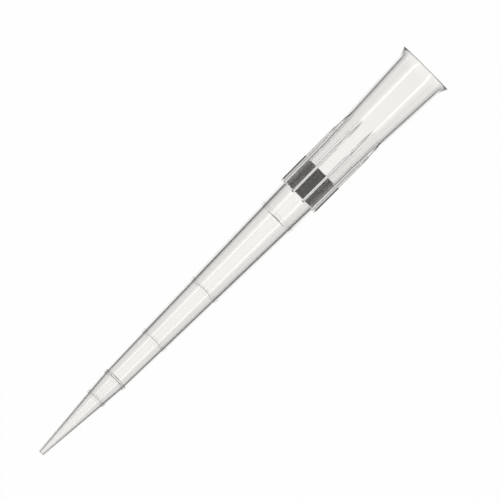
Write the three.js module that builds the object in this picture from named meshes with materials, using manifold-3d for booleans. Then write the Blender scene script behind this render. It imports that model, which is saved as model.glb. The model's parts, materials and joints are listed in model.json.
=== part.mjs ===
// A filter pipette tip for 200 microlitres, lying on a flat surface.
//
// It is two pieces. The tip is one moulding of clear polypropylene: a fine cone that
// holds the first microlitres, a body of slighter taper with raised graduation rings,
// and a ribbed collar whose bore first holds the filter and then takes the pipette's
// nose, ending in a flared rim. The filter is a plug of sintered polyethylene that is
// pushed down the mouth until it seats on a small ledge inside the collar.
//
// Millimetres, +Z up. Stations run along the tip's own axis from the orifice (0) to
// the rim. In the part's frame the rim points to +X and the tip rests on Z = 0.

import * as THREE from 'three';
import { mergeVertices } from 'three/addons/utils/BufferGeometryUtils.js';
import Module from 'manifold-3d';

const wasm = await Module();
wasm.setup();

// ---------------------------------------------------------------- driving dimensions

// stretches of the bore, from the orifice up
const FINE_CONE_LENGTH = 11.15;
const BODY_CONE_LENGTH = 28.95;
const POCKET_LENGTH = 6.4;
const MOUTH_CONE_LENGTH = 12.3;
const LIP_LENGTH = 1.2;

// bore diameters where the stretches meet
const ORIFICE_BORE = 0.5;
const TAPER_CHANGE_BORE = 2.32;
const BODY_TOP_BORE = 3.8;
const POCKET_BORE = 3.95;
const POCKET_TOP_BORE = 4.05;
const MOUTH_BORE = 5.32;
const RIM_BORE = 6.3;

// wall thicknesses at the same places
const ORIFICE_WALL = 0.15;
const TAPER_CHANGE_WALL = 0.24;
const BODY_TOP_WALL = 0.36;
const POCKET_WALL = 0.36;
const MOUTH_WALL = 0.3;
const RIM_WALL = 0.27;

// raised rings that mark volumes, in microlitres, which are also cubic millimetres
const MARKED_VOLUMES = [10, 20, 50, 100, 200];
const RING_WIDTH = 0.4;
const RING_HEIGHT = 0.06;

// ribs around the collar
const RIB_COUNT = 8;
const RIB_CREST = 0.28; // across the crest, the narrowest place
const RIB_DRAFT = 16; // degrees that each side leans towards the other
const RIB_CIRCLE = 5.6; // diameter of the circle that the crests lie on
const RIB_OVERHANG = 0.15; // how far the ribs reach below the filter's seat

// filter
const FILTER_LENGTH = 3.6;
const FILTER_CLEARANCE = 0.04; // to the pocket's wall and to the ledge
const FILTER_CHAMFER = 0.12; // on both ends

// roundness
const SEGMENTS = 40; // around the axis, even, so that flats face up and down
const CURVE_STEPS = 4; // over each ring's crest and along the lip's flare, even

// ---------------------------------------------------------------- stations and radii

const SEAT = FINE_CONE_LENGTH + BODY_CONE_LENGTH;
const POCKET_TOP = SEAT + POCKET_LENGTH;
const MOUTH = POCKET_TOP + MOUTH_CONE_LENGTH;
const RIM = MOUTH + LIP_LENGTH;

const RIM_RADIUS = RIM_BORE / 2 + RIM_WALL;
const RIB_RADIUS = RIB_CIRCLE / 2;
const RIB_START = SEAT - RIB_OVERHANG;
const RIB_PITCH = (2 * Math.PI) / RIB_COUNT;
const RIB_SLOPE = Math.tan(THREE.MathUtils.degToRad(RIB_DRAFT));

// the station of the finished tip's centre of mass
const BALANCE = 38.5;

// a revolved piece's flats lie nearer to the axis than its edges by this factor
const FLAT = Math.cos(Math.PI / SEGMENTS);

// a profile's point: x is the radius, y is the station
const at = (station, radius) => new THREE.Vector2(radius, station);

// corners of the bore and of the outside, from the orifice to the mouth
const bore = [
  at(0, ORIFICE_BORE / 2),
  at(FINE_CONE_LENGTH, TAPER_CHANGE_BORE / 2),
  at(SEAT, BODY_TOP_BORE / 2),
  at(SEAT, POCKET_BORE / 2),
  at(POCKET_TOP, POCKET_TOP_BORE / 2),
  at(MOUTH, MOUTH_BORE / 2),
];
const walls = [
  ORIFICE_WALL,
  TAPER_CHANGE_WALL,
  BODY_TOP_WALL,
  POCKET_WALL,
  POCKET_WALL,
  MOUTH_WALL,
];
const outside = bore.map((corner, i) => at(corner.y, corner.x + walls[i]));

// the radius of a line of corners at a station
function radiusAt(corners, station) {
  const high = Math.max(1, corners.findIndex((corner) => corner.y >= station));
  const [a, b] = [corners[high - 1], corners[high]];
  return THREE.MathUtils.mapLinear(station, a.y, b.y, a.x, b.x);
}

// ---------------------------------------------------------------- graduation rings

const coneVolume = (low, high) =>
  (Math.PI / 3) * (high.y - low.y) * (low.x ** 2 + low.x * high.x + high.x ** 2);

// the station up to which a cone that starts at low and widens to high holds a volume
function fillLevel(low, high, volume) {
  const taper = (high.x - low.x) / (high.y - low.y);
  const radius = Math.cbrt(low.x ** 3 + (3 * taper * volume) / Math.PI);
  return low.y + (radius - low.x) / taper;
}

// each ring stands where the bore below it holds the marked volume
function ringStation(volume) {
  const [orifice, taperChange, bodyTop] = bore;
  const fineVolume = coneVolume(orifice, taperChange);
  return volume < fineVolume
    ? fillLevel(orifice, taperChange, volume)
    : fillLevel(taperChange, bodyTop, volume - fineVolume);
}

const ringStations = MARKED_VOLUMES.map(ringStation).filter(
  (station) => station + RING_WIDTH < RIB_START,
);

// a ring's section is a low round crest that rises from the wall and falls back to it
function ringSection(station) {
  const foot = (y) => at(y, radiusAt(outside, y));
  const peak = at(station, radiusAt(outside, station) + 2 * RING_HEIGHT);
  const [low, high] = [foot(station - RING_WIDTH / 2), foot(station + RING_WIDTH / 2)];
  return new THREE.QuadraticBezierCurve(low, peak, high).getPoints(CURVE_STEPS);
}

// ---------------------------------------------------------------- geometry helpers

// revolves a profile, and turns its axis from +Y to +X with flats facing up and down
function revolve(profile) {
  const geometry = new THREE.LatheGeometry(profile, SEGMENTS, Math.PI / SEGMENTS);
  return geometry.rotateZ(-Math.PI / 2);
}

function toSolid(geometry) {
  geometry.deleteAttribute('normal');
  geometry.deleteAttribute('uv');
  const merged = mergeVertices(geometry, 1e-5);
  return new wasm.Manifold(
    new wasm.Mesh({
      numProp: 3,
      vertProperties: new Float32Array(merged.attributes.position.array),
      triVerts: new Uint32Array(merged.index.array),
    }),
  );
}

function toGeometry(solid) {
  const { vertProperties, triVerts } = solid.getMesh();
  const geometry = new THREE.BufferGeometry();
  geometry.setAttribute('position', new THREE.BufferAttribute(vertProperties, 3));
  geometry.setIndex(new THREE.BufferAttribute(triVerts, 1));
  geometry.computeVertexNormals();
  return geometry;
}

// ---------------------------------------------------------------- tip body

// the lip leaves a cone in the cone's own direction and curves out to the rim
function lipCurve(corners, rimRadius) {
  const mouth = corners.at(-1);
  const bend = MOUTH + LIP_LENGTH / 2;
  const along = mouth.clone().sub(corners.at(-2));
  const control = at(bend, mouth.x + (along.x / along.y) * (bend - MOUTH));
  const curve = new THREE.QuadraticBezierCurve(mouth, control, at(RIM, rimRadius));
  return curve.getPoints(CURVE_STEPS);
}

// up the outside, over the rings and the lip, and down the bore to the orifice
function tipProfile() {
  const covered = (corner) =>
    ringStations.some((station) => Math.abs(corner.y - station) <= RING_WIDTH / 2);
  const rising = [
    ...outside.slice(0, -1).filter((corner) => !covered(corner)),
    ...ringStations.flatMap(ringSection),
  ].sort((a, b) => a.y - b.y);
  return [
    ...rising,
    ...lipCurve(outside, RIM_RADIUS),
    ...lipCurve(bore, RIM_BORE / 2).reverse(),
    ...bore.slice(0, -1).reverse(),
    outside[0],
  ];
}

// half of a rib's thickness at a distance from the axis
const halfRib = (radius) => RIB_CREST / 2 + (RIB_RADIUS - radius) * RIB_SLOPE;

// ribs are buried in the middle of the wall, cut square below, and run out into the
// mouth cone where it has grown past their crests
function ribs() {
  const [pocketTop, mouth] = outside.slice(-2);
  const buried = Math.hypot(RIB_RADIUS, RIB_CREST / 2) / FLAT;
  const runOut = THREE.MathUtils.mapLinear(
    buried, pocketTop.x, mouth.x, pocketTop.y, mouth.y,
  );
  const end = Math.min(runOut, MOUTH);
  const midWall = (station) =>
    new THREE.Vector2(station, (radiusAt(bore, station) + radiusAt(outside, station)) / 2);
  const side = new THREE.Shape([
    midWall(RIB_START),
    midWall(POCKET_TOP),
    midWall(end),
    new THREE.Vector2(end, RIB_RADIUS),
    new THREE.Vector2(RIB_START, RIB_RADIUS),
  ]);
  // straight down lies between two of them, so the tip can rest on both
  return Array.from({ length: RIB_COUNT }, (_, i) => {
    const rib = new THREE.ExtrudeGeometry(side, { depth: 2, bevelEnabled: false });
    rib.translate(0, 0, -1);
    const { position } = rib.attributes;
    for (let v = 0; v < position.count; v++) {
      position.setZ(v, position.getZ(v) * halfRib(position.getY(v)));
    }
    rib.rotateX(-Math.PI / 2 + (i + 0.5) * RIB_PITCH);
    return rib;
  });
}

const polypropylene = new THREE.MeshStandardMaterial({
  color: 0xf1f1ee,
  roughness: 0.15,
  metalness: 0,
  transparent: true,
  opacity: 0.45,
});

const moulding = ribs().reduce(
  (body, rib) => body.add(toSolid(rib)),
  toSolid(revolve(tipProfile())),
);
const tipBody = new THREE.Mesh(toGeometry(moulding), polypropylene);
tipBody.name = 'tip_body';

// ---------------------------------------------------------------- filter plug

// the plug takes the pocket's taper, a clearance inside its wall and above its ledge
function filterProfile() {
  const bottom = SEAT + FILTER_CLEARANCE;
  const top = bottom + FILTER_LENGTH;
  const radius = (station) => radiusAt(bore, station) - FILTER_CLEARANCE;
  return [
    at(bottom, 0),
    at(bottom, radius(bottom) - FILTER_CHAMFER),
    at(bottom + FILTER_CHAMFER, radius(bottom + FILTER_CHAMFER)),
    at(top - FILTER_CHAMFER, radius(top - FILTER_CHAMFER)),
    at(top, radius(top) - FILTER_CHAMFER),
    at(top, 0),
  ];
}

const sinteredPolyethylene = new THREE.MeshStandardMaterial({
  color: 0x5e5e60,
  roughness: 0.95,
  metalness: 0,
});

const filterPlug = new THREE.Mesh(revolve(filterProfile()), sinteredPolyethylene);
filterPlug.name = 'filter_plug';

// ---------------------------------------------------------------- resting on Z = 0

// what can touch the floor: the orifice, the rings, the two lowest ribs' ends and the rim
const ribReach =
  RIB_RADIUS * Math.cos(RIB_PITCH / 2) + (RIB_CREST / 2) * Math.sin(RIB_PITCH / 2);
const supports = [
  at(0, outside[0].x * FLAT),
  ...ringStations.map((y) => at(y, (radiusAt(outside, y) + RING_HEIGHT) * FLAT)),
  at(RIB_START, ribReach),
  at(RIM, RIM_RADIUS * FLAT),
];

// the tip rests on one support on either side of its balance: of all such pairs, the
// pair that reaches lowest there
const depthAtBalance = ([low, high]) =>
  THREE.MathUtils.mapLinear(BALANCE, low.y, high.y, low.x, high.x);
const pairs = supports
  .filter((low) => low.y < BALANCE)
  .flatMap((low) => supports.filter((high) => high.y > BALANCE).map((high) => [low, high]));
const [low, high] = pairs.reduce((best, pair) =>
  depthAtBalance(pair) > depthAtBalance(best) ? pair : best,
);
const restAngle = Math.atan((high.x - low.x) / (high.y - low.y));

// the origin is under the middle of the part's length
const length = RIM * Math.cos(restAngle);
const overlap = (supports.at(-1).x - supports[0].x) * Math.sin(restAngle);

const pipetteTip = new THREE.Group();
pipetteTip.add(tipBody, filterPlug);
pipetteTip.rotation.y = -restAngle;
pipetteTip.position.x = -(length + overlap) / 2;
pipetteTip.position.z = high.x * Math.cos(restAngle) - high.y * Math.sin(restAngle);

export default pipetteTip;
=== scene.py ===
# %% [markdown]
# A filter pipette tip lies on a white table. It is two pieces: a clear polypropylene
# moulding, hollow from end to end, and a grey plug of sintered polyethylene inside it.
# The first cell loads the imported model. Its box is the size that the finished model has
# to keep, so it is measured before anything is added.

import json
import math

import bmesh
import bpy
from mathutils import Matrix, Vector


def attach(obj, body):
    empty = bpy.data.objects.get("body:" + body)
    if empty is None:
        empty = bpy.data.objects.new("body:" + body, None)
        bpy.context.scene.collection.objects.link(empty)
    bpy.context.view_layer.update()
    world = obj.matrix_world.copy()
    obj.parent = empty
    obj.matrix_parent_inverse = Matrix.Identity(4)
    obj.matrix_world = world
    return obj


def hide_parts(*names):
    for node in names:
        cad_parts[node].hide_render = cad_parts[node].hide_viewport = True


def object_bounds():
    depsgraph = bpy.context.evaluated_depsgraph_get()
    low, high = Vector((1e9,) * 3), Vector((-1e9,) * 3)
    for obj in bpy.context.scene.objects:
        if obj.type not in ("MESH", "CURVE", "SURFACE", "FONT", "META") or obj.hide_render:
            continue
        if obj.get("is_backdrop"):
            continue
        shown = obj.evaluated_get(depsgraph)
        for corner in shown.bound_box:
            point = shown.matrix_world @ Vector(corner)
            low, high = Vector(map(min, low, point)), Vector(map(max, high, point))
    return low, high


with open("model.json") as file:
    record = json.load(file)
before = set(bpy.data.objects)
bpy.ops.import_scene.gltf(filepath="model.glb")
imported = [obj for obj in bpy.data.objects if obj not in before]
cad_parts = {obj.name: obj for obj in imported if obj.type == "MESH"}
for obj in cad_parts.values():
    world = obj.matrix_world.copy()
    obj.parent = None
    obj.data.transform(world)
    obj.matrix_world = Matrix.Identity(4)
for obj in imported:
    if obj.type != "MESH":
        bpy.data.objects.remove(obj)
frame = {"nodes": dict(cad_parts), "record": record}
cad_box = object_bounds()
print("nodes:", sorted(frame["nodes"]), "box:", [tuple(corner) for corner in cad_box])

# %% [markdown]
# Operators act on whatever is selected. Three small helpers keep that in hand: one
# clears the selection, one makes a single object active, and one selects vertices by
# their place, as a modeller would drag a box over them, and opens edit mode.

# %% Selection helpers


def only(piece):
    """Selects one object and nothing else."""
    bpy.ops.object.select_all(action="DESELECT")
    piece.select_set(True)
    bpy.context.view_layer.objects.active = piece


def edit_all(piece):
    """Opens edit mode with everything selected."""
    only(piece)
    bpy.ops.object.mode_set(mode="EDIT")
    bpy.ops.mesh.select_mode(type="VERT")
    bpy.ops.mesh.select_all(action="SELECT")


def edit_where(piece, inside, mode="VERT"):
    """Opens edit mode with the vertices selected whose place passes the test, and with
    the edges or faces between them in the other modes."""
    edit_all(piece)
    bpy.ops.mesh.select_mode(type=mode)
    bpy.ops.mesh.select_all(action="DESELECT")
    shape = bmesh.from_edit_mesh(piece.data)
    parts = {"VERT": shape.verts, "EDGE": shape.edges, "FACE": shape.faces}[mode]
    for part in parts:
        corners = [part] if mode == "VERT" else part.verts
        part.select = all(inside(corner.co) for corner in corners)
    shape.select_flush_mode()
    bmesh.update_edit_mesh(piece.data)


def done():
    bpy.ops.object.mode_set(mode="OBJECT")


def report(piece):
    """Prints a piece's size in its own units and whether it is closed."""
    shape = bmesh.new()
    shape.from_mesh(piece.data)
    open_edges = sum(not edge.is_manifold for edge in shape.edges)
    triangles = len(shape.calc_loop_triangles())
    shape.free()
    size = " x ".join(f"{side:.4g}" for side in piece.dimensions)
    print(f"{piece.name}: {size}, {triangles} triangles, {open_edges} open edges")


# %% [markdown]
# The tip is drawn in millimetres, standing on its orifice with its axis on Z, because a
# turned shape is easiest to model upright and steps of a few hundredths are easier to
# read in millimetres. It is laid down and brought to metres when it is finished.
#
# Each corner below is a radius and a station, the height above the orifice. The fine
# cone holds the first microlitres, the body widens more slowly, a small ledge makes the
# seat of the filter, and the mouth widens to take the pipette's nose.

# %% Sizes of the moulding, in millimetres
TAPER_CHANGE = 11.15
SEAT = 40.1
POCKET_TOP = 46.5
MOUTH = 58.8
RIM = 60.0

BORE = [
    (0.25, 0.0),
    (1.16, TAPER_CHANGE),
    (1.90, SEAT),
    (1.975, SEAT),
    (2.025, POCKET_TOP),
    (2.66, MOUTH),
]
WALL = [0.15, 0.24, 0.36, 0.36, 0.36, 0.30]
OUTSIDE = [(radius + wall, station) for (radius, station), wall in zip(BORE, WALL)]

RIM_BORE = 3.15
RIM_RADIUS = 3.41


def radius_at(corners, station):
    """The radius of a line of corners at a station."""
    for (low, start), (high, end) in zip(corners, corners[1:]):
        if start < end and station <= end:
            return low + (high - low) * (station - start) / (end - start)
    return corners[-1][0]


print("wall at the seat:", round(radius_at(OUTSIDE, SEAT) - radius_at(BORE, SEAT), 3), "mm")

# %% [markdown]
# The raised rings are the graduation. Each stands where the bore below it holds a round
# number of microlitres, so its station isn't chosen but follows from the volume of a
# cone, V = pi / 3 * h * (a * a + a * b + b * b). A microlitre is a cubic millimetre.

# %% Stations of the graduation rings
MARKED_VOLUMES = [10, 20, 50, 100, 200]


def filled_to(low, high, volume):
    """The station up to which a cone from corner low to corner high holds a volume."""
    taper = (high[0] - low[0]) / (high[1] - low[1])
    radius = (low[0] ** 3 + 3 * taper * volume / math.pi) ** (1 / 3)
    return low[1] + (radius - low[0]) / taper


def ring_station(volume):
    (a, start), (b, end) = BORE[:2]
    fine_volume = math.pi / 3 * (end - start) * (a * a + a * b + b * b)
    if volume < fine_volume:
        return filled_to(BORE[0], BORE[1], volume)
    return filled_to(BORE[1], BORE[2], volume - fine_volume)


RINGS = [ring_station(volume) for volume in MARKED_VOLUMES]
print("rings at", [round(station, 2) for station in RINGS], "mm")

# %% [markdown]
# Half of the moulding's section is one closed line: up the outside, over the rings, out
# along the lip, round the rim's edge and back down the bore. A ring is a low flat band
# with steep flanks, whose narrow shoulders bend light away and read as fine lines. The
# lip is a Bezier curve that leaves the cone in the cone's own direction. The fine cone
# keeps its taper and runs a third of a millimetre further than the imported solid, to a
# nearly sharp orifice.
#
# Where two long cones meet, one more point on either side keeps the smooth shading of
# the bend from spreading along the whole cone, where it would bend the light as well.

# %% The section of the moulding
RING_WIDTH = 0.4
RING_HEIGHT = 0.075
SHOULDER = 0.02
BEND = 0.3
EDGE = 0.05
ORIFICE = -0.35
ORIFICE_EDGE = 0.015


def arc(centre, radius, start, end, steps=5):
    """Points on a circle, from one angle to another in degrees."""
    angles = [math.radians(start + (end - start) * i / steps) for i in range(steps + 1)]
    return [
        (centre[0] + radius * math.cos(angle), centre[1] + radius * math.sin(angle))
        for angle in angles
    ]


def ring_section(station):
    """A flat band on the outer wall with steep flanks, from below to above."""
    low, high = station - RING_WIDTH / 2, station + RING_WIDTH / 2
    top = radius_at(OUTSIDE, station) + RING_HEIGHT
    return [
        (radius_at(OUTSIDE, low), low),
        *arc((top - SHOULDER, low + SHOULDER), SHOULDER, -90, 0),
        *arc((top - SHOULDER, high - SHOULDER), SHOULDER, 0, 90),
        (radius_at(OUTSIDE, high), high),
    ]


def with_bends(corners):
    """A wall's corners, with a point below and above each bend between long cones."""
    points = []
    for radius, station in corners:
        if station in (TAPER_CHANGE, POCKET_TOP, MOUTH):
            points.append((radius_at(corners, station - BEND), station - BEND))
        points.append((radius, station))
        if station in (TAPER_CHANGE, POCKET_TOP):
            points.append((radius_at(corners, station + BEND), station + BEND))
    return points


def lip(corners, rim_radius, end=RIM, steps=14):
    """The flare from the mouth to the rim."""
    (low, below), (radius, mouth) = corners[-2:]
    middle = (mouth + end) / 2
    slope = (radius - low) / (mouth - below)
    control = (radius + slope * (middle - mouth), middle)
    points = []
    for i in range(1, steps + 1):
        t = i / steps
        a, b, c = (1 - t) ** 2, 2 * t * (1 - t), t * t
        points.append(
            (
                a * radius + b * control[0] + c * rim_radius,
                a * mouth + b * control[1] + c * end,
            )
        )
    return points


def outer_wall():
    plain = [
        point
        for point in with_bends(OUTSIDE)
        if all(abs(point[1] - ring) > RING_WIDTH / 2 for ring in RINGS)
    ]
    bands = [point for ring in RINGS for point in ring_section(ring)]
    return sorted(plain + bands, key=lambda point: (point[1], point[0]))


orifice_bore, orifice_outside = radius_at(BORE, ORIFICE), radius_at(OUTSIDE, ORIFICE)
orifice_face = [
    (orifice_bore, ORIFICE + ORIFICE_EDGE),
    (orifice_bore + ORIFICE_EDGE, ORIFICE),
    (orifice_outside - ORIFICE_EDGE, ORIFICE),
    (orifice_outside, ORIFICE + ORIFICE_EDGE),
]
rim_edge = arc((RIM_RADIUS - EDGE, RIM - EDGE), EDGE, 0, 90)
section = [
    *orifice_face,
    *outer_wall()[1:],
    *lip(OUTSIDE, RIM_RADIUS, RIM - EDGE),
    *rim_edge[1:],
    (RIM_BORE + EDGE, RIM),
    *reversed(lip(BORE, RIM_BORE, RIM - EDGE)),
    *reversed(with_bends(BORE)[1:]),
]
print("the section has", len(section), "points")

# %% [markdown]
# A plane merged to its centre is a single vertex, and extruding it from point to point
# draws the section, as a pen would. The last step comes back to the first point and is
# merged with it. Spin then turns the section all the way round the axis. A lathe shape
# could also come from a Screw modifier, but Spin leaves plain geometry at once. The
# number of steps is a whole number between any two ribs.

# %% Draw the section and spin it
SPIN_STEPS = 180
MERGE = 0.0001


def draw_line(name, points):
    """Draws a closed line of vertices on the plane of X and Z."""
    start = Vector((points[0][0], 0, points[0][1]))
    bpy.ops.object.select_all(action="DESELECT")
    bpy.ops.mesh.primitive_plane_add(size=1)
    line = bpy.context.object
    line.name = name
    edit_all(line)
    bpy.ops.mesh.merge(type="CENTER")
    bpy.ops.transform.translate(value=start)
    pen = start
    for radius, station in [*points[1:], points[0]]:
        target = Vector((radius, 0, station))
        bpy.ops.mesh.extrude_region_move(TRANSFORM_OT_translate={"value": target - pen})
        pen = target
    bpy.ops.mesh.select_all(action="SELECT")
    bpy.ops.mesh.remove_doubles(threshold=MERGE)
    return line


tip = draw_line("clear_tip", section)
bpy.ops.mesh.spin(steps=SPIN_STEPS, angle=math.tau, center=(0, 0, 0), axis=(0, 0, 1))
bpy.ops.mesh.select_all(action="SELECT")
bpy.ops.mesh.remove_doubles(threshold=MERGE)
bpy.ops.mesh.normals_make_consistent(inside=False)
done()
report(tip)

# %% [markdown]
# Eight ribs stiffen the collar and hold the tip in its rack. One rib is a bar that gets
# thinner towards its crest. It starts as a cube, is cut across where the wall's slope
# changes, and its foot is moved to the middle of the wall, so that it is buried there
# and never shows in the bore, and is widened there, so that its sides lean. One sloping
# cut lets the crest sink into the wall of the mouth, where the rib runs out. Last the
# crest is rounded with a bevel.

# %% Model one rib
RIB_COUNT = 8
RIB_CREST = 0.34
RIB_DRAFT = 13
RIB_RADIUS = 2.80
RIB_START = SEAT - 0.15
RIB_END = 51.3
RIB_ROUND = 0.11
CREST_DEPTH = 0.3
RUN_OUT = 47.3
RUN_OUT_DEPTH = 0.21
NEAR = 0.01


def mid_wall(station):
    return (radius_at(BORE, station) + radius_at(OUTSIDE, station)) / 2


def half_rib(radius):
    """Half of a rib's thickness at a distance from the tip's axis."""
    return RIB_CREST / 2 + (RIB_RADIUS - radius) * math.tan(math.radians(RIB_DRAFT))


rib_foot = mid_wall(RIB_START)

bpy.ops.object.select_all(action="DESELECT")
bpy.ops.mesh.primitive_cube_add(
    size=1,
    location=((rib_foot + RIB_RADIUS) / 2, 0, (RIB_START + RIB_END) / 2),
    scale=(RIB_RADIUS - rib_foot, RIB_CREST, RIB_END - RIB_START),
)
rib = bpy.context.object
bpy.ops.object.transform_apply()
edit_all(rib)
bpy.ops.mesh.bisect(plane_co=(0, 0, POCKET_TOP), plane_no=(0, 0, 1))
done()
for station in (RIB_START, POCKET_TOP, RIB_END):
    foot = mid_wall(station)
    edit_where(rib, lambda co: co.x < rib_foot + NEAR and abs(co.z - station) < NEAR)
    bpy.ops.transform.translate(value=(foot - rib_foot, 0, 0))
    bpy.ops.transform.resize(value=(1, 2 * half_rib(foot) / RIB_CREST, 1))
    done()
edit_all(rib)
bpy.ops.mesh.bisect(
    plane_co=(RIB_RADIUS, 0, RUN_OUT),
    plane_no=Vector((RIB_END - RUN_OUT, 0, RUN_OUT_DEPTH)).normalized(),
    use_fill=True,
    clear_outer=True,
)
done()
for side in (-1, 1):
    edit_where(
        rib,
        lambda co: co.x > RIB_RADIUS - CREST_DEPTH and co.y * side > RIB_CREST / 2 - NEAR,
        "EDGE",
    )
    bpy.ops.mesh.bevel(offset=RIB_ROUND, segments=6, affect="EDGES")
    done()
report(rib)

# %% [markdown]
# What repeats is modelled once and copied, each copy with its own mesh. The copies are
# joined into one object and united with the wall by one Boolean, so the moulding stays a
# single closed skin: light has to meet plastic and air only where the real tip does.
# The side that will face down lies midway between two ribs, so the tip can lie on both.

# %% Copy the ribs and unite them with the wall
FINE_MERGE = 0.002

ribs = []
for i in range(RIB_COUNT):
    copy = rib.copy()
    copy.data = rib.data.copy()
    copy.rotation_euler.z = math.tau * (i + 0.5) / RIB_COUNT
    bpy.context.collection.objects.link(copy)
    ribs.append(copy)
bpy.data.objects.remove(rib)
only(ribs[0])
for copy in ribs:
    copy.select_set(True)
bpy.ops.object.join()
bpy.ops.object.transform_apply()
all_ribs = bpy.context.object

only(tip)
union = tip.modifiers.new("ribs", "BOOLEAN")
union.operation = "UNION"
union.solver = "EXACT"
union.object = all_ribs
bpy.ops.object.modifier_apply(modifier=union.name)
bpy.data.objects.remove(all_ribs)
edit_all(tip)
bpy.ops.mesh.remove_doubles(threshold=FINE_MERGE)
done()
report(tip)

# %% [markdown]
# The filter is a short plug that stands on the ledge inside the collar. It starts as a
# cylinder, takes the slight taper of its pocket, and its ends are rounded with a bevel.
# A voxel remesh then gives it small even faces, so that a Voronoi texture can displace
# them into the grain of sintered beads. Bump alone would leave its outline smooth.

# %% Model the filter
FILTER_LENGTH = 3.6
FILTER_CLEARANCE = 0.04
FILTER_ROUND = 0.22
GRAIN_VOXEL = 0.05
GRAIN_SIZE = 0.16
GRAIN_HEIGHT = 0.03

filter_bottom = SEAT + FILTER_CLEARANCE
filter_top = filter_bottom + FILTER_LENGTH
pocket = [corner for corner in BORE if corner[1] >= SEAT][1:]
bottom_radius = radius_at(pocket, filter_bottom) - FILTER_CLEARANCE
top_radius = radius_at(pocket, filter_top) - FILTER_CLEARANCE

bpy.ops.object.select_all(action="DESELECT")
bpy.ops.mesh.primitive_cylinder_add(
    vertices=96,
    radius=bottom_radius,
    depth=FILTER_LENGTH,
    location=(0, 0, (filter_bottom + filter_top) / 2),
)
plug = bpy.context.object
plug.name = "granular_filter"
bpy.ops.object.transform_apply()
edit_where(plug, lambda co: co.z > filter_top - NEAR)
bpy.ops.transform.resize(
    value=(top_radius / bottom_radius, top_radius / bottom_radius, 1),
    center_override=(0, 0, filter_top),
)
done()
for end in (filter_bottom, filter_top):
    edit_where(plug, lambda co: abs(co.z - end) < NEAR, "EDGE")
    bpy.ops.mesh.bevel(offset=FILTER_ROUND, segments=4, affect="EDGES")
    done()

remesh = plug.modifiers.new("even faces", "REMESH")
remesh.mode = "VOXEL"
remesh.voxel_size = GRAIN_VOXEL
beads = bpy.data.textures.new("beads", "VORONOI")
beads.noise_scale = GRAIN_SIZE
grain = plug.modifiers.new("grain", "DISPLACE")
grain.texture = beads
grain.texture_coords = "LOCAL"
grain.strength = -GRAIN_HEIGHT
grain.mid_level = 0
only(plug)
for modifier in ("even faces", "grain"):
    bpy.ops.object.modifier_apply(modifier=modifier)
bpy.ops.object.shade_smooth()
report(plug)

# %% [markdown]
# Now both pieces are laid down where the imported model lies. Its mount gives the tip's
# axis and the plane of the rim. The height is the one at which the lower ends of two
# ribs would meet the ground if their crests weren't rounded, so the rounded ones stay a
# few hundredths of a millimetre above it. The place goes into the mesh, and the objects
# themselves stay at the origin.

# %% Lay the pieces down
MM = 0.001
SMOOTH_ANGLE = math.radians(20)

mount = frame["record"]["mounts"][0]
axis = Vector(mount["axis"])
tilt = math.atan2(axis.z, axis.x)
rim_plane = axis.dot(Vector(mount["pos_m"])) / MM
half_pitch = math.pi / RIB_COUNT
rib_reach = RIB_RADIUS * math.cos(half_pitch) + RIB_CREST / 2 * math.sin(half_pitch)
height = rib_reach * math.cos(tilt) - RIB_START * math.sin(tilt)
orifice = Vector(((rim_plane - RIM - axis.z * height) / axis.x, 0, height))


def lay_down(piece):
    only(piece)
    piece.matrix_world = (
        Matrix.Scale(MM, 4)
        @ Matrix.Translation(orifice)
        @ Matrix.Rotation(math.pi / 2 - tilt, 4, "Y")
    )
    bpy.ops.object.transform_apply()


lay_down(tip)
lay_down(plug)
only(tip)
bpy.ops.object.shade_smooth_by_angle(angle=SMOOTH_ANGLE)
flats = tip.modifiers.new("flats stay flat", "WEIGHTED_NORMAL")
flats.keep_sharp = True
flats.weight = 100
bpy.ops.object.modifier_apply(modifier=flats.name)
print("tilt:", round(math.degrees(tilt), 3), "degrees, orifice at", tuple(orifice), "mm")

# %% [markdown]
# A small class keeps the shaders readable. It wraps one socket of a node tree, and the
# plain signs + - * between two sockets, or a socket and a number, add the Math nodes.
# Every other node comes from one method: its settings are set first, then its sockets.

# %% A shader expression


class Shade:
    """A socket of a node tree that can be used in a sum."""

    def __init__(self, tree, socket=None):
        self.tree, self.socket = tree, socket

    def node(self, kind, settings=None, sockets=None):
        made = self.tree.nodes.new("ShaderNode" + kind)
        for name, value in (settings or {}).items():
            if name == "stops":
                set_stops(made.color_ramp, value)
            else:
                setattr(made, name, value)
        for name, value in (sockets or {}).items():
            if isinstance(value, Shade):
                self.tree.links.new(value.socket, made.inputs[name])
            else:
                made.inputs[name].default_value = value
        return Shade(self.tree, made.outputs[0])

    def out(self, name):
        """Another output of the same node."""
        return Shade(self.tree, self.socket.node.outputs[name])

    def math(self, operation, first, second):
        return self.node("Math", {"operation": operation}, {0: first, 1: second})

    def __add__(self, other):
        return self.math("ADD", self, other)

    def __radd__(self, other):
        return self.math("ADD", other, self)

    def __sub__(self, other):
        return self.math("SUBTRACT", self, other)

    def __rsub__(self, other):
        return self.math("SUBTRACT", other, self)

    def __mul__(self, other):
        return self.math("MULTIPLY", self, other)


def set_stops(ramp, stops):
    """Gives a ramp its grey stops, each a place and a level."""
    while len(ramp.elements) > 1:
        ramp.elements.remove(ramp.elements[-1])
    for i, (place, level) in enumerate(stops):
        stop = ramp.elements[0] if i == 0 else ramp.elements.new(place)
        stop.position = place
        stop.color = (level, level, level, 1)


def new_material(name):
    """A material with a plain Principled shader, its expression start and that node."""
    material = bpy.data.materials.new(name)
    material.use_nodes = True
    return material, Shade(material.node_tree), material.node_tree.nodes["Principled BSDF"]


def along_tip(shade, stretch):
    """Object coordinates turned to the tip's own axis, stretched along it."""
    place = shade.node("TexCoord").out("Object")
    return shade.node(
        "Mapping",
        {"vector_type": "POINT"},
        {
            "Vector": place,
            "Rotation": (0, tilt, 0),
            "Scale": (1 / stretch, 1, 1),
        },
    )


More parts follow.
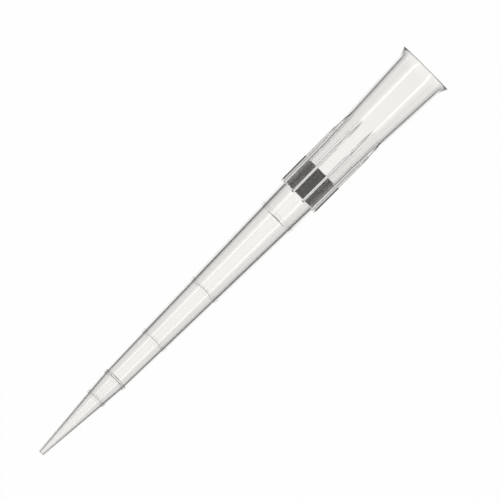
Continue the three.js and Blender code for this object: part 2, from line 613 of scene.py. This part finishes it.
# %% [markdown]
# Polypropylene is clear but never optically perfect. The melt ran from the rim to the
# orifice, so the surface keeps faint streaks along the tip. They are a stretched noise
# that varies the roughness a little. The transmission itself and the index of
# refraction are the same everywhere and are set on the shader.

# %% Material: clear polypropylene
CLEAR_TINT = (0.99, 0.979, 0.962, 1)
PLASTIC_IOR = 1.49
LEAST_ROUGHNESS = 0.02
STREAK_ROUGHNESS = 0.02
STREAK_STRETCH = 40
STREAKS_PER_METRE = 4000


def clear_polypropylene():
    material, shade, shader = new_material("clear polypropylene")
    shader.inputs["Base Color"].default_value = CLEAR_TINT
    shader.inputs["IOR"].default_value = PLASTIC_IOR
    shader.inputs["Transmission Weight"].default_value = 1
    streaks = shade.node(
        "TexNoise",
        {"noise_dimensions": "3D"},
        {"Vector": along_tip(shade, STREAK_STRETCH), "Scale": STREAKS_PER_METRE, "Detail": 2},
    ).out("Fac")
    roughness = LEAST_ROUGHNESS + streaks * STREAK_ROUGHNESS
    material.node_tree.links.new(roughness.socket, shader.inputs["Roughness"])
    return material


tip.data.materials.clear()
tip.data.materials.append(clear_polypropylene())

# %% [markdown]
# The filter is a block of polyethylene beads that were fused without melting away the
# pores between them. A Voronoi pattern draws the beads and paints shade into the pores
# between them, a noise blotches both, and the surface is almost fully matte.

# %% Material: sintered filter
BEAD_GREY = 0.275
# painted shade: the pores between the beads are drawn darker than the beads
PORE_SHADE = 0.195
BEADS_PER_METRE = 9000
BLOTCHES_PER_METRE = 2500
FILTER_ROUGHNESS = 0.9
BEAD_BUMP = 0.00003


def sintered_filter():
    material, shade, shader = new_material("sintered filter")
    place = shade.node("TexCoord").out("Object")
    cells = shade.node(
        "TexVoronoi", None, {"Vector": place, "Scale": BEADS_PER_METRE}
    ).out("Distance")
    blotches = shade.node(
        "TexNoise", None, {"Vector": place, "Scale": BLOTCHES_PER_METRE}
    ).out("Fac")
    # the ramp darkens the edges of the Voronoi cells, painted shade in the pores between the
    # beads
    tone = shade.node(
        "ValToRGB",
        {"stops": [(0, BEAD_GREY), (0.6, BEAD_GREY), (1, PORE_SHADE)]},
        {"Fac": cells * 0.8 + blotches * 0.3},
    )
    material.node_tree.links.new(tone.socket, shader.inputs["Base Color"])
    shader.inputs["Roughness"].default_value = FILTER_ROUGHNESS
    bump = shade.node(
        "Bump", None, {"Height": 1.0 - cells, "Strength": 0.5, "Distance": BEAD_BUMP}
    )
    material.node_tree.links.new(bump.socket, shader.inputs["Normal"])
    return material


plug.data.materials.clear()
plug.data.materials.append(sintered_filter())

# %% [markdown]
# The pieces take the places of the imported solids: each rides on the part's one body
# and replaces its node, whose imported solid is hidden.

# %% Join the pieces to the frame
for piece, node, slot in (
    (tip, "tip_body", "clear_polypropylene"),
    (plug, "filter_plug", "sintered_filter"),
):
    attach(piece, "root")
    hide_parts(node)

# %% [markdown]
# Clear things are drawn by what they bend into view. In a bright-field set the paper
# behind the glass is white and the room beyond it is dark, so light that the wall bends
# far off its way draws a dark line along the edge of the bore. The world stands in for
# such a set. Its level for rays that leave the plastic depends on how far they point
# away from straight down, and rays that were mirrored on their way have levels of their
# own. The levels are chosen for the look and aren't those of a measured set. The camera
# itself sees white.

# %% The studio around the table
PAPER_THROUGH = [(0, 1.02), (0.004, 0.88), (0.009, 0.81), (0.027, 0.74), (0.04, 0.67),
                 (0.06, 0.52), (0.09, 0.3), (0.13, 0.15), (0.17, 0.12), (0.22, 0.15),
                 (0.27, 0.35), (0.31, 0.5), (0.43, 0.75), (0.6, 0.9), (1, 0.9)]
PAPER_MIRRORED = [(0, 1), (0.03, 0.9), (0.06, 0.85), (0.09, 0.75), (0.12, 0.55),
                  (0.16, 0.3), (0.22, 0.1), (0.34, 0.03), (0.45, 0.3), (0.6, 0.9), (1, 0.95)]
ROOM_LEVEL = 0.35


def studio_world():
    world = bpy.data.worlds.new("studio")
    world.use_nodes = True
    world.node_tree.nodes.clear()
    room = Shade(world.node_tree)
    direction = room.node("TexCoord").out("Generated")
    height = room.node("SeparateXYZ", None, {"Vector": direction}).out("Z")
    ray = room.node("LightPath")
    from_straight_down = height + 1.0
    through = room.node("ValToRGB", {"stops": PAPER_THROUGH}, {"Fac": from_straight_down})
    mirrored = room.node("ValToRGB", {"stops": PAPER_MIRRORED}, {"Fac": from_straight_down})
    was_mirrored = room.math("MINIMUM", ray.out("Glossy Depth"), 1.0)
    paper = through + (mirrored - through) * was_mirrored
    below = room.math("LESS_THAN", height, 0.0)
    in_plastic = ROOM_LEVEL + (paper - ROOM_LEVEL) * below
    level = ROOM_LEVEL + (in_plastic - ROOM_LEVEL) * ray.out("Is Transmission Ray")
    level = level + (1.0 - level) * ray.out("Is Camera Ray")
    surface_from(room, "Background", {"Color": level}, "OutputWorld")
    return world


def surface_from(shade, kind, sockets, output):
    """Ends a node tree: one shader node and the output that it feeds."""
    shader = shade.node(kind, None, sockets)
    end = shade.tree.nodes.new("ShaderNode" + output)
    shade.tree.links.new(shader.socket, end.inputs["Surface"])


scene = bpy.context.scene
scene.world = studio_world()
scene.view_settings.view_transform = "Standard"

# %% [markdown]
# The table is one large plane. It glows towards the camera, so that it reads as pure
# white paper, and a part of it stays an ordinary matte white that the lamps light: that
# part keeps the tip's own faint shadow. Rays that leave the plastic pass through it and
# meet the studio beyond.

# %% The table
TABLE_SIZE = 4
TABLE_GAP = 0.00002
TABLE_GLOW = 0.985
PAPER_WHITE = (0.9, 0.9, 0.9, 1)

bpy.ops.object.select_all(action="DESELECT")
bpy.ops.mesh.primitive_plane_add(size=TABLE_SIZE, location=(0, 0, -TABLE_GAP))
table = bpy.context.object
table.name = "table"
table.visible_transmission = False
table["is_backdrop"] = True


def white_paper():
    material = bpy.data.materials.new("white paper")
    material.use_nodes = True
    material.node_tree.nodes.clear()
    shade = Shade(material.node_tree)
    ray = shade.node("LightPath")
    seen = shade.math("MAXIMUM", ray.out("Is Camera Ray"), ray.out("Is Glossy Ray"))
    matte = shade.node("BsdfDiffuse", None, {"Color": PAPER_WHITE})
    glow = shade.node("Emission", None, {"Strength": 1})
    surface_from(
        shade, "MixShader", {0: seen * TABLE_GLOW, 1: matte, 2: glow}, "OutputMaterial"
    )
    return material


table.data.materials.append(white_paper())
print("table:", TABLE_SIZE, "m wide")

# %% [markdown]
# Two long strip lamps hang beside the tip, level and about halfway up the sky. A
# glossy cylinder mirrors each of them as one thin straight line, which is what shows
# that a clear tube is round. The lamps are so long that the lines run on through the
# flare of the lip. The camera doesn't see them.

# %% The strip lamps
LAMP_DISTANCE = 0.4
LAMP_LENGTH = 1.5
LAMP_ANGLE = 43.5
LAMP_WIDTH = 0.08
LAMP_RADIANCE = 1.35


def strip_lamp(name, side):
    """A level lamp beside the tip, on one side of it, aimed at the tip."""
    lamp = bpy.data.lights.new(name, "AREA")
    lamp.shape = "RECTANGLE"
    lamp.size, lamp.size_y = LAMP_LENGTH, LAMP_WIDTH
    lamp.energy = LAMP_RADIANCE * math.pi * LAMP_LENGTH * LAMP_WIDTH
    holder = bpy.data.objects.new(name, lamp)
    bpy.context.collection.objects.link(holder)
    slant = math.radians(LAMP_ANGLE) * side
    holder.location = (0, LAMP_DISTANCE * math.sin(slant), LAMP_DISTANCE * math.cos(slant))
    holder.rotation_euler = (-slant, 0, 0)
    holder.visible_camera = False


strip_lamp("left strip", 1)
strip_lamp("right strip", -1)

# %% [markdown]
# The camera looks straight down on the tip, which lies diagonally across the picture
# with its mouth to the upper right. A long lens from half a metre away keeps the two
# ends in nearly the same perspective.

# %% The camera
CAMERA_HEIGHT = 0.5
TIP_HEIGHT = 0.0022
PICTURE_WIDTH = 0.05539
SENSOR = 36
CAMERA_TURN = math.radians(-45.04)
CAMERA_PLACE = (0.001939, -0.000457)

camera = bpy.data.objects.new("camera", bpy.data.cameras.new("camera"))
bpy.context.collection.objects.link(camera)
camera.data.lens = SENSOR * (CAMERA_HEIGHT - TIP_HEIGHT) / PICTURE_WIDTH
camera.data.clip_start = 0.01
camera.data.clip_end = 10
camera.location = (*CAMERA_PLACE, CAMERA_HEIGHT)
camera.rotation_euler = (0, 0, CAMERA_TURN)
scene.camera = camera
print("lens:", round(camera.data.lens), "mm")

# %% [markdown]
# The finished model must keep the size of the imported one, so both boxes are printed.

# %% Print both boxes and finish
made_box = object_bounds()
for name, low, high in (("cad", *cad_box), ("made", *made_box)):
    print(name, "box in mm:", [round(side / MM, 3) for side in (*low, *high)])
